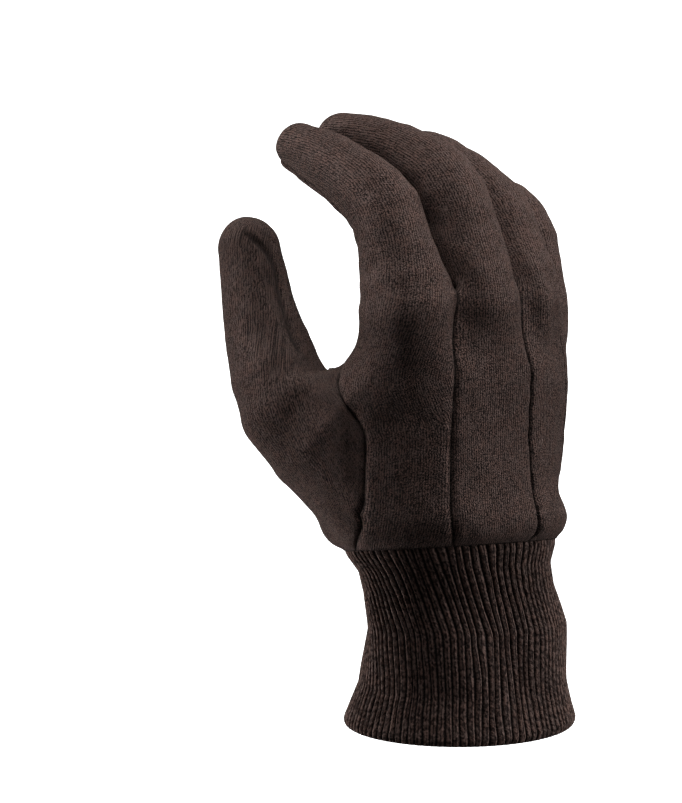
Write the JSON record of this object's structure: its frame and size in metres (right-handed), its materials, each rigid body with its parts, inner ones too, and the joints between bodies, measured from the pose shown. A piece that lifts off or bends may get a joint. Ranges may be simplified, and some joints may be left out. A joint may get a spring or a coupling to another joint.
{
  "type": "work glove",
  "caption": "Right-hand knitted cotton work glove with a ribbed knit cuff, sewn back strips and a palm and thumb panel, in a relaxed, curled worn shape, open at the wrist.",
  "frame": {"origin": "centre of the cuff's open mouth, where the wrist goes in", "axes": "+Z from the wrist to the fingers, the back of the hand faces -Y and the palm +Y, the thumb is on the -X side"},
  "size_m": [0.1096, 0.0953, 0.195],
  "materials": {
    "jersey": "dark brown napped cotton jersey, matt",
    "rib_knit": "dark brown ribbed cotton knit, matt"
  },
  "bodies": {
    "root": {"palm_thumb_panel": "jersey", "back_index_panel": "jersey", "back_middle_panel": "jersey", "back_ring_panel": "jersey", "back_little_panel": "jersey", "knit_cuff": "rib_knit"}
  },
  "joints": []
}
